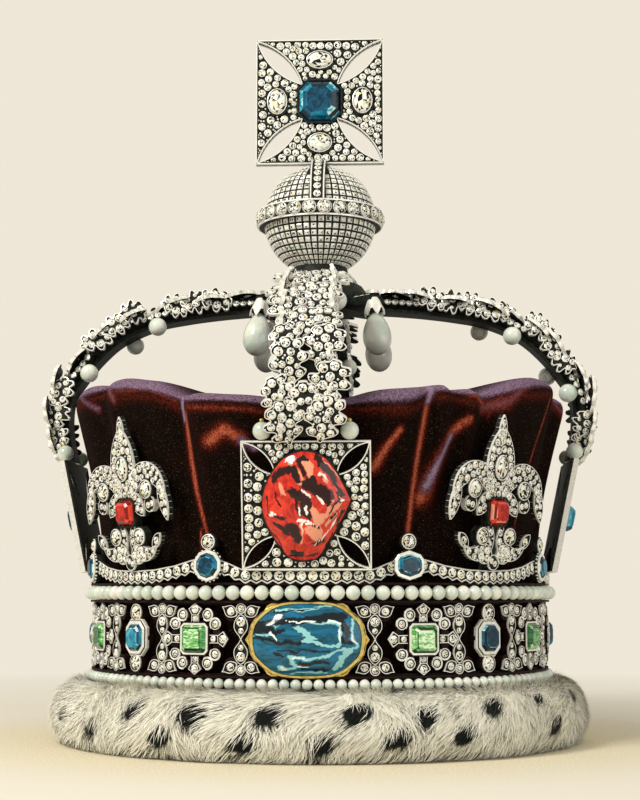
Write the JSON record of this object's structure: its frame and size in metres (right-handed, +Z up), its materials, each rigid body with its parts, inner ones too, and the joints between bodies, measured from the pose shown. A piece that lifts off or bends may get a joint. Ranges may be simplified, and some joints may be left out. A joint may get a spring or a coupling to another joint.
{
  "type": "arched crown",
  "caption": "Arched crown: jewelled circlet with pearl rows, crosses pattee, fleurs-de-lis, crossed arches with orb and cross, velvet cap and ermine rim.",
  "frame": {"origin": "centre of the crown's bounding box at its base, where the fur rim stands on a surface", "axes": "+Z up along the crown's axis, -Y to the front with the big red stone, +X to the right as seen from the front"},
  "size_m": [0.2374, 0.2374, 0.3099],
  "materials": {
    "fur": "deep cream fur with black tails",
    "velvet": "silk velvet pile",
    "silver": "polished silver set with diamonds",
    "gold": "polished gold",
    "pearl": "soft pearl lustre",
    "blue_stone": "faceted and polished",
    "red_stone": "faceted and polished",
    "green_stone": "faceted and polished",
    "diamond": "faceted and polished"
  },
  "bodies": {
    "root": {"ermine": "fur", "cap": "velvet", "circlet": "silver", "pearls_upper": "pearl", "thread_upper": "gold", "pearls_lower": "pearl", "festoon": "silver", "arch_boss": "silver", "monde": "silver", "top_cross": "silver", "cross_front": "silver", "cross_right": "silver", "cross_back": "silver", "cross_left": "silver", "arch_front": "silver", "arch_right": "silver", "arch_back": "silver", "arch_left": "silver", "fleur_front_right": "silver", "fleur_back_right": "silver", "fleur_back_left": "silver", "fleur_front_left": "silver", "cross_pearls": "pearl", "arch_pearls_front": "pearl", "arch_pearls_right": "pearl", "arch_pearls_back": "pearl", "arch_pearls_left": "pearl", "drop_pearl_1": "pearl", "drop_pearl_2": "pearl", "drop_pearl_3": "pearl", "drop_pearl_4": "pearl", "festoon_stones": "blue_stone", "stone_right": "blue_stone", "stone_back": "blue_stone", "stone_left": "blue_stone", "stone_top": "blue_stone", "sapphire_front": "blue_stone", "sapphire_1": "blue_stone", "sapphire_2": "blue_stone", "sapphire_3": "blue_stone", "sapphire_4": "blue_stone", "sapphire_5": "blue_stone", "sapphire_6": "blue_stone", "sapphire_7": "blue_stone", "stone_front": "red_stone", "fleur_stone_1": "red_stone", "fleur_stone_2": "red_stone", "fleur_stone_3": "red_stone", "fleur_stone_4": "red_stone", "emerald_1": "green_stone", "emerald_2": "green_stone", "emerald_3": "green_stone", "emerald_4": "green_stone", "emerald_5": "green_stone", "emerald_6": "green_stone", "emerald_7": "green_stone", "emerald_8": "green_stone", "top_diamonds": "diamond", "circlet_diamonds": "diamond", "fleur_diamonds": "diamond"}
  },
  "joints": []
}
